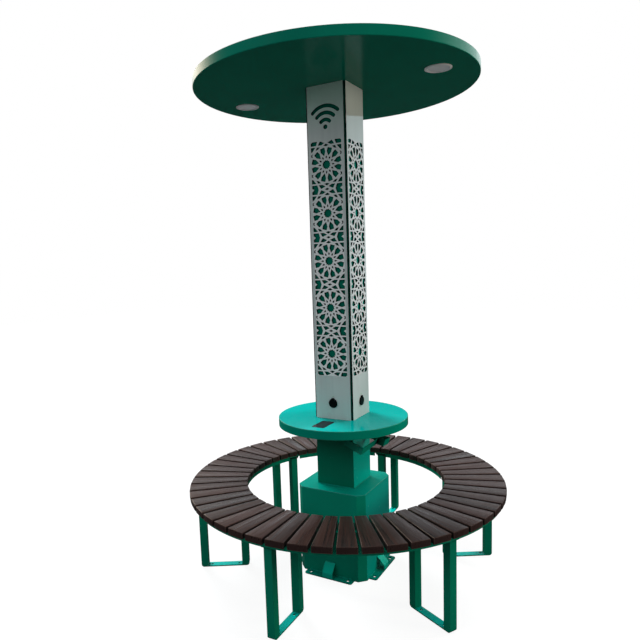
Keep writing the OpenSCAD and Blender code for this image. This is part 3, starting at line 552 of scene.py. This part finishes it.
def brick(bm, lo, hi, bevel=0.0):
    made = bmesh.ops.create_cube(bm, size=1.0)["verts"]
    lo, hi = Vector(lo), Vector(hi)
    for v in made:
        v.co = Vector([lo[i] + (v.co[i] + 0.5) * (hi[i] - lo[i]) for i in range(3)])
    if bevel:
        edges = {e for v in made for e in v.link_edges}
        bmesh.ops.bevel(bm, geom=list(edges), offset=bevel, segments=2, affect="EDGES", profile=0.7)


def turned(bm, first, deg):
    """Turns all points from the first one on about the column's axis."""
    bm.verts.ensure_lookup_table()
    turn = Matrix.Rotation(math.radians(deg), 3, "Z")
    bmesh.ops.rotate(bm, verts=list(bm.verts)[first:], cent=(0, 0, 0), matrix=turn)


# Slats, each with rounded edges, its own grain direction and tone
SLATS, IN_R, OUT_R, TOP, THICK = 50, 0.5055, 0.798, 0.463, 0.029
SLAT_FILES = 5
FILE_SLATS = SLATS // SLAT_FILES
PITCH_DEG = 360 / SLATS
BENCH_TURN = 1.3
HALF_GAP_IN, HALF_GAP_OUT = 0.0049, 0.0073
HALF_IN = IN_R * math.tan(math.pi / SLATS) - HALF_GAP_IN
HALF_OUT = OUT_R * math.tan(math.pi / SLATS) - HALF_GAP_OUT
TOP_ROUND, CORNER_ROUND = 0.0038, 0.0016


def slat_group(g):
    rnd = random.Random(40 + g)
    bm = bmesh.new()
    marks = []
    for i in range(FILE_SLATS):
        k = (g - 1) * FILE_SLATS + i
        sub = bmesh.new()
        low = [(IN_R, -HALF_IN), (OUT_R, -HALF_OUT), (OUT_R, HALF_OUT), (IN_R, HALF_IN)]
        verts = [sub.verts.new((x, y, z)) for z in (TOP - THICK, TOP) for x, y in low]
        sub.faces.new(verts[3::-1])
        sub.faces.new(verts[4:])
        for j in range(4):
            sub.faces.new((verts[j], verts[(j + 1) % 4], verts[4 + (j + 1) % 4], verts[4 + j]))
        top = [e for e in sub.edges if all(v.co.z > TOP - 0.001 for v in e.verts)]
        bmesh.ops.bevel(sub, geom=top, offset=TOP_ROUND, segments=4, affect="EDGES", profile=0.5)
        tall = [e for e in sub.edges if abs(e.verts[0].co.z - e.verts[1].co.z) > THICK / 2]
        bmesh.ops.bevel(sub, geom=tall, offset=CORNER_ROUND, segments=2, affect="EDGES", profile=0.5)
        turn = Matrix.Rotation(math.radians(k * PITCH_DEG + BENCH_TURN), 3, "Z")
        tone = rnd.random()
        shift = rnd.uniform(-5, 5)
        sub.verts.index_update()
        made = {}
        for v in sub.verts:
            made[v.index] = bm.verts.new(turn @ v.co)
            marks.append((v.co.x + shift, v.co.y, v.co.z, tone))
        for f in sub.faces:
            bm.faces.new([made[v.index] for v in f.verts])
        sub.free()
    wood = slat_wood("slat_wood_%d" % g, g)
    obj = piece("slats_%d_wood" % g, bm, wood, smooth=False)
    mesh = obj.data
    mesh.attributes.new("grain", "FLOAT_VECTOR", "POINT")
    mesh.attributes.new("tone", "FLOAT", "POINT")
    for i, (x, y, z, w) in enumerate(marks):
        mesh.attributes["grain"].data[i].vector = (x, y, z)
        mesh.attributes["tone"].data[i].value = w
    mesh.shade_smooth()
    mesh.set_sharp_from_angle(angle=math.radians(40))
    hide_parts("slats_%d" % g)


for g in range(1, SLAT_FILES + 1):
    slat_group(g)

# Weld beads of the post on the lid, the flanges on the box and the straps on the flanges
BEAD_STEP = 0.004
POST_BEAD, POST_BEAD_Z = 0.102 + 0.0005, 0.4445
SEAM_OUT, SEAM_IN, SEAM_Y, SEAM_Z = 0.120, 0.030, -0.1855, 0.0065
LUMP_FIRST, LUMP_PITCH, LUMP_HALF, LUMPS = 0.045, 0.03, 0.008, 3
STRAP_SIDE, STRAP_HALF = 0.0282, 0.027


def ring_of_beads(bm, corners, z, radius, wobble):
    for k in range(len(corners)):
        a, b = corners[k], corners[(k + 1) % len(corners)]
        sweep(bm, run((*a, z), (*b, z), BEAD_STEP), radius, wobble=wobble, seed=k)


bm = bmesh.new()
c = POST_BEAD
ring_of_beads(bm, [(-c, -c), (c, -c), (c, c), (-c, c)], POST_BEAD_Z, 0.0022, 0.18)
for i in range(4):
    first = len(bm.verts)
    for s in (-1, 1):
        seam = run((s * SEAM_OUT, SEAM_Y, SEAM_Z), (s * SEAM_IN, SEAM_Y, SEAM_Z), 0.005)
        sweep(bm, seam, 0.0026, wobble=0.25, seed=9 + i)
        for q in range(LUMPS):
            x = s * (LUMP_FIRST + q * LUMP_PITCH)
            lump = run((x - LUMP_HALF, -0.1860, 0.0072), (x + LUMP_HALF, -0.1860, 0.0072), 0.003)
            sweep(bm, lump, 0.0038, wobble=0.30, seed=30 + q)
        x = s * STRAP_SIDE
        sweep(bm, run((x, -0.1960, 0.0635), (x, -0.2245, 0.0303), BEAD_STEP), 0.0012, wobble=0.2, seed=5)
        sweep(bm, run((x, -0.2250, 0.0285), (x, -0.2250, 0.0075), BEAD_STEP), 0.0012, wobble=0.2, seed=6)
    head = run((-STRAP_HALF, -0.1862, 0.0722), (STRAP_HALF, -0.1862, 0.0722), BEAD_STEP)
    sweep(bm, head, 0.0018, wobble=0.25, seed=7)
    turned(bm, first, 90 * i)
piece("base_weld_beads", bm, M["weld"])

# Weld beads of the leg frames: round the head of each upright and across its foot
LEGS, FIRST_LEG_DEG = 6, 30
UPRIGHTS = ((0.516, 0.554), (0.7305, 0.7685))
HEAD_BEAD_Y, HEAD_BEAD_Z = 0.0192, 0.4155
FOOT_BEAD_RS, FOOT_BEAD_Y, FOOT_BEAD_Z = (0.5545, 0.7300), 0.018, 0.0066

bm = bmesh.new()
for i in range(LEGS):
    first = len(bm.verts)
    y = HEAD_BEAD_Y
    for r0, r1 in UPRIGHTS:
        ring_of_beads(bm, [(r0, -y), (r1, -y), (r1, y), (r0, y)], HEAD_BEAD_Z, 0.0018, 0.2)
    for r in FOOT_BEAD_RS:
        foot = run((r, -FOOT_BEAD_Y, FOOT_BEAD_Z), (r, FOOT_BEAD_Y, FOOT_BEAD_Z), BEAD_STEP)
        sweep(bm, foot, 0.0018, wobble=0.25, seed=3)
    turned(bm, first, FIRST_LEG_DEG + 360 // LEGS * i + BENCH_TURN)
piece("leg_weld_beads", bm, M["weld"])

# Charging sockets: a rim and two port tongues each
SOCKET_Z, SOCKET_Y = 0.872, -0.108
RIM_PROFILE = ((0.0182, 0.0006), (0.0186, -0.0004), (0.0226, -0.0004), (0.0233, 0.0002), (0.0233, 0.0022),
               (0.0182, 0.0010))
TONGUE_HALF, TONGUE_OFF, TONGUE_THIN = 0.0052, 0.0072, 0.0008
TONGUE_OUT, TONGUE_IN = -0.0985, -0.0905


def socket_parts(i):
    bm = bmesh.new()
    lathe(bm, [(r, SOCKET_Y + h) for r, h in RIM_PROFILE], (0, 0, SOCKET_Z), "Y", 64)
    for s in (-1, 1):
        z = SOCKET_Z + s * TONGUE_OFF
        brick(bm, (-TONGUE_HALF, TONGUE_OUT, z - TONGUE_THIN), (TONGUE_HALF, TONGUE_IN, z + TONGUE_THIN),
              0.0003)
    turned(bm, 0, 90 * i)
    piece("socket_rim_%d" % (i + 1), bm, M["black"])


for i in range(4):
    socket_parts(i)

# Rounded trim rings and lens domes of the downlights
LIGHT_X, LIGHT_Z = 0.51, 2.393
BEZEL = ((0.0480, 0.0050), (0.0484, -0.0010), (0.0502, -0.0022), (0.0530, -0.0016), (0.0560, -0.0004),
         (0.0560, 0.0010))
DOME = ((0.0478, 0.0034), (0.0470, 0.0018), (0.0430, 0.0006), (0.0340, -0.0002), (0.0200, -0.0006))
DOME_STEPS = 72

bm = bmesh.new()
dome = bmesh.new()
for s in (-1, 1):
    lathe(bm, [(r, LIGHT_Z + h) for r, h in BEZEL], (s * LIGHT_X, 0, 0), "Z", 96)
    prev = None
    for r, h in DOME:
        ring = []
        for k in range(DOME_STEPS):
            a = 2 * math.pi * k / DOME_STEPS
            ring.append(dome.verts.new((s * LIGHT_X + r * math.cos(a), r * math.sin(a), LIGHT_Z + h)))
        if prev:
            skin(dome, prev, ring)
        prev = ring
    dome.faces.new(prev)
piece("downlight_bezels", bm, M["trim"])
piece("downlight_domes", dome, M["lens"])

# Sealant bead round the solar glass
bm = bmesh.new()
sweep(bm, circle(0.6700, 2.4368, 240), 0.0011, closed=True)
piece("glass_seal", bm, M["rubber"])

# Three busbars on each cell
CELL_PITCH, CELL_HALF, CELL_REACH, CELLS_EACH_WAY = 0.156, 0.075, 0.65, 4
BAR_XS, BAR_HALF, BAR_LONG = (-0.05, 0, 0.05), 0.0011, 0.0745
BAR_LOW, BAR_TOP = 2.43245, 2.43292

bm = bmesh.new()
for i in range(-CELLS_EACH_WAY, CELLS_EACH_WAY):
    for j in range(-CELLS_EACH_WAY, CELLS_EACH_WAY):
        x, y = (i + 0.5) * CELL_PITCH, (j + 0.5) * CELL_PITCH
        if math.hypot(abs(x) + CELL_HALF, abs(y) + CELL_HALF) < CELL_REACH:
            for q in BAR_XS:
                low = (x + q - BAR_HALF, y - BAR_LONG, BAR_LOW)
                brick(bm, low, (x + q + BAR_HALF, y + BAR_LONG, BAR_TOP))
piece("cell_busbars", bm, M["supply"], smooth=False)

# Gasket round the wireless pad
PAD_HALF_W, PAD_HALF_L, PAD_CORNER, PAD_Y, PAD_TOP = 0.033, 0.060, 0.008, -0.217, 0.7920
ARC_STEP_DEG, ARC_POINTS = 15, 7

bm = bmesh.new()
w, l = PAD_HALF_W - PAD_CORNER, PAD_HALF_L - PAD_CORNER
ring = []
for cx, cy, first_deg in ((w, l, 0), (-w, l, 90), (-w, -l, 180), (w, -l, 270)):
    for k in range(ARC_POINTS):
        a = math.radians(first_deg + ARC_STEP_DEG * k)
        x, y = cx + PAD_CORNER * math.cos(a), PAD_Y + cy + PAD_CORNER * math.sin(a)
        ring.append(Vector((x, y, PAD_TOP)))
sweep(bm, ring, 0.0010, closed=True, flat=0.6)
piece("pad_gasket", bm, M["rubber"])

# Units inside the base box: battery posts, band and lid, controller fins, router aerials
POST_PROFILE = ((0.0001, 0.174), (0.011, 0.174), (0.011, 0.178), (0.0065, 0.180), (0.0065, 0.192),
                (0.0055, 0.193), (0.0001, 0.193))
FINS, FIN_FIRST, FIN_PITCH, FIN_HALF = 12, -0.060, 0.0109, 0.001

bm = bmesh.new()
for s in (-1, 1):
    lathe(bm, POST_PROFILE, (s * 0.07, 0.045, 0), "Z", 24)
piece("battery_posts", bm, M["brass"])
bm = bmesh.new()
brick(bm, (-0.1015, -0.0765, 0.150), (0.1015, 0.0765, 0.158), 0.001)
brick(bm, (-0.03, -0.0775, 0.02), (0.03, 0.0775, 0.145), 0.002)
piece("battery_lid_band", bm, M["battery"])
bm = bmesh.new()
for k in range(FINS):
    x = FIN_FIRST + k * FIN_PITCH
    brick(bm, (x - FIN_HALF, -0.1475, 0.232), (x + FIN_HALF, -0.140, 0.296), 0.0004)
piece("controller_fins", bm, M["controller"])
bm = bmesh.new()
for s in (-1, 1):
    sweep(bm, run((-0.166, s * 0.045, 0.293), (-0.166, s * 0.045, 0.372), 0.012), 0.0042, sides=12)
piece("router_aerials", bm, M["router"])

# Floor and studio
FLOOR_HALF, FLOOR_Z = 16.0, -0.0004
FLOOR_SEEN = (0.85, 0.85, 0.85, 1)
FLOOR_GLOW = (1.08, 1.08, 1.08, 1)
# Distance from the axis over which the floor fades to white, and the share of white at both ends
FLOOR_FADE = (0.7, 2.2, 0.84, 1.0)
FLOOR_BOUNCE = (0.148, 0.148, 0.145, 1)
FLOOR_GLOSS = (0.03, 0.032, 0.032, 1)
# Each ramp over a direction's part: two places and the values there
SKY_DIFFUSE = (-0.05, 0.9, 0.06, 0.60)
SKY_RISE = (0.255, 0.315, 0.015, 2.1)
SKY_FALL = (0.345, 0.44, 1.0, 0.08)
SKY_REAR = (0.10, 0.60, 0.10, 1.0)
# Direction, sharpness, strength and colour of the patches that gloss reflects
SKY_PATCHES = (
    ((-0.94, 0.166, 0.33), 18.0, 5.6, (1.0, 0.83, 0.66, 1)),
    ((0.60, 0.75, 0.20), 6.0, 0.30, (0.75, 0.95, 1.0, 1)),
    ((-0.20, 0.94, 0.27), 60.0, 0.06, (0.80, 0.96, 1.0, 1)),
)
SEEN_RAYS = ("Is Camera Ray", "Is Transmission Ray")


def operated(t, op, a, b):
    """The result of a maths node, whose second input is a value or another node's output."""
    m = t.nodes.new("ShaderNodeMath")
    m.operation = op
    t.links.new(a, m.inputs[0])
    if isinstance(b, float):
        m.inputs[1].default_value = b
    else:
        t.links.new(b, m.inputs[1])
    return m.outputs[0]


def ray_share(t, *kinds):
    """1 for the named kinds of ray, 0 for the rest."""
    path = t.nodes.new("ShaderNodeLightPath")
    share = path.outputs[kinds[0]]
    for kind in kinds[1:]:
        share = operated(t, "MAXIMUM", share, path.outputs[kind])
    return share


def mixed(t, share, a, b):
    m = t.nodes.new("ShaderNodeMixShader")
    for i, socket in enumerate((share, a, b)):
        t.links.new(socket, m.inputs[i])
    return m.outputs[0]


def ramped(t, value, ends, smooth=False):
    k = t.nodes.new("ShaderNodeMapRange")
    if smooth:
        k.interpolation_type = "SMOOTHSTEP"
    t.links.new(value, k.inputs[0])
    for i, v in enumerate(ends):
        k.inputs[i + 1].default_value = v
    return k.outputs[0]


def make_floor():
    mesh = bpy.data.meshes.new("floor")
    s = FLOOR_HALF
    mesh.from_pydata([(-s, -s, 0), (s, -s, 0), (s, s, 0), (-s, s, 0)], [], [(0, 1, 2, 3)])
    obj = bpy.data.objects.new("floor", mesh)
    obj.location.z = FLOOR_Z
    bpy.context.scene.collection.objects.link(obj)
    mat = bpy.data.materials.new("floor")
    mat.use_nodes = True
    t = mat.node_tree
    t.nodes.clear()
    out = t.nodes.new("ShaderNodeOutputMaterial")

    def shader(kind, color):
        k = t.nodes.new(kind)
        k.inputs[0].default_value = color
        return k.outputs[0]

    geo = t.nodes.new("ShaderNodeNewGeometry")
    far = t.nodes.new("ShaderNodeVectorMath")
    far.operation = "LENGTH"
    t.links.new(geo.outputs["Position"], far.inputs[0])
    fade = ramped(t, far.outputs["Value"], FLOOR_FADE)
    shaded = shader("ShaderNodeBsdfDiffuse", FLOOR_SEEN)
    seen = mixed(t, fade, shaded, shader("ShaderNodeEmission", FLOOR_GLOW))
    bounce = shader("ShaderNodeBsdfDiffuse", FLOOR_BOUNCE)
    lit = mixed(t, ray_share(t, "Is Glossy Ray"), bounce, shader("ShaderNodeEmission", FLOOR_GLOSS))
    t.links.new(mixed(t, ray_share(t, *SEEN_RAYS), lit, seen), out.inputs[0])
    mesh.materials.append(mat)


def make_world():
    world = bpy.data.worlds.new("studio")
    bpy.context.scene.world = world
    world.use_nodes = True
    w = world.node_tree
    w.nodes.clear()
    out = w.nodes.new("ShaderNodeOutputWorld")
    way = w.nodes.new("ShaderNodeTexCoord").outputs["Generated"]
    sep = w.nodes.new("ShaderNodeSeparateXYZ")
    w.links.new(way, sep.inputs[0])
    y, z = sep.outputs[1], sep.outputs[2]

    def background(color, strength):
        b = w.nodes.new("ShaderNodeBackground")
        b.inputs[0].default_value = color
        if isinstance(strength, float):
            b.inputs[1].default_value = strength
        else:
            w.links.new(strength, b.inputs[1])
        return b.outputs[0]

    def patch(toward, sharp, strength):
        d = w.nodes.new("ShaderNodeVectorMath")
        d.operation = "DOT_PRODUCT"
        w.links.new(way, d.inputs[0])
        d.inputs[1].default_value = Vector(toward).normalized()
        value = operated(w, "MAXIMUM", d.outputs["Value"], 0.0)
        value = operated(w, "POWER", value, sharp)
        return operated(w, "MULTIPLY", value, strength)

    def added(a, b):
        k = w.nodes.new("ShaderNodeAddShader")
        w.links.new(a, k.inputs[0])
        w.links.new(b, k.inputs[1])
        return k.outputs[0]

    white = background((1, 1, 1, 1), 1.0)
    sky = background((0.86, 0.95, 1.0, 1), ramped(w, z, SKY_DIFFUSE, smooth=True))
    band = operated(w, "MULTIPLY", ramped(w, z, SKY_RISE, smooth=True), ramped(w, z, SKY_FALL, smooth=True))
    behind = operated(w, "MULTIPLY", band, ramped(w, y, SKY_REAR, smooth=True))
    gloss = background((0.96, 0.97, 1.0, 1), behind)
    for toward, sharp, strength, color in SKY_PATCHES:
        gloss = added(gloss, background(color, patch(toward, sharp, strength)))
    lit = mixed(w, ray_share(w, "Is Glossy Ray"), sky, gloss)
    w.links.new(mixed(w, ray_share(w, *SEEN_RAYS), lit, white), out.inputs[0])


def hang(light, at, aim, power, color):
    """Places a lamp, points it at its aim and keeps it out of reflections."""
    light.energy = power
    light.color = color
    obj = bpy.data.objects.new(light.name, light)
    obj.location = at
    obj.rotation_euler = (Vector(aim) - Vector(at)).to_track_quat("-Z", "Y").to_euler()
    obj.visible_glossy = False
    bpy.context.scene.collection.objects.link(obj)


def area(name, at, aim, size, power, color):
    light = bpy.data.lights.new(name, "AREA")
    light.shape = "DISK"
    light.size = size
    hang(light, at, aim, power, color)


def spot(name, at, aim, cone_deg, power, color):
    light = bpy.data.lights.new(name, "SPOT")
    light.shadow_soft_size = 0.02
    light.spot_size = math.radians(cone_deg)
    light.spot_blend = 1.0
    hang(light, at, aim, power, color)


make_floor()
make_world()
area("key_right", (5.2, 0.7, 2.2), (0, 0, 1.2), 1.8, 84, (1.0, 0.90, 0.72))
spot("low_sun", (3.34, 3.98, 3.45), (0, 0, 1.70), 21.0, 700, (0.62, 0.80, 0.94))
area("sky_back_right", (2.6, 3.0, 5.6), (0, 0, 0.8), 2.5, 125, (0.95, 0.98, 1.0))
area("sky_back_left", (-3.8, 2.0, 4.0), (0, 0, 0.8), 2.5, 350, (0.88, 0.96, 1.0))
area("fill_front", (-2.2, -4.6, 3.5), (0, 0, 1.0), 2.5, 46, (0.95, 0.98, 1.0))

view = bpy.context.scene.view_settings
view.view_transform = "Standard"
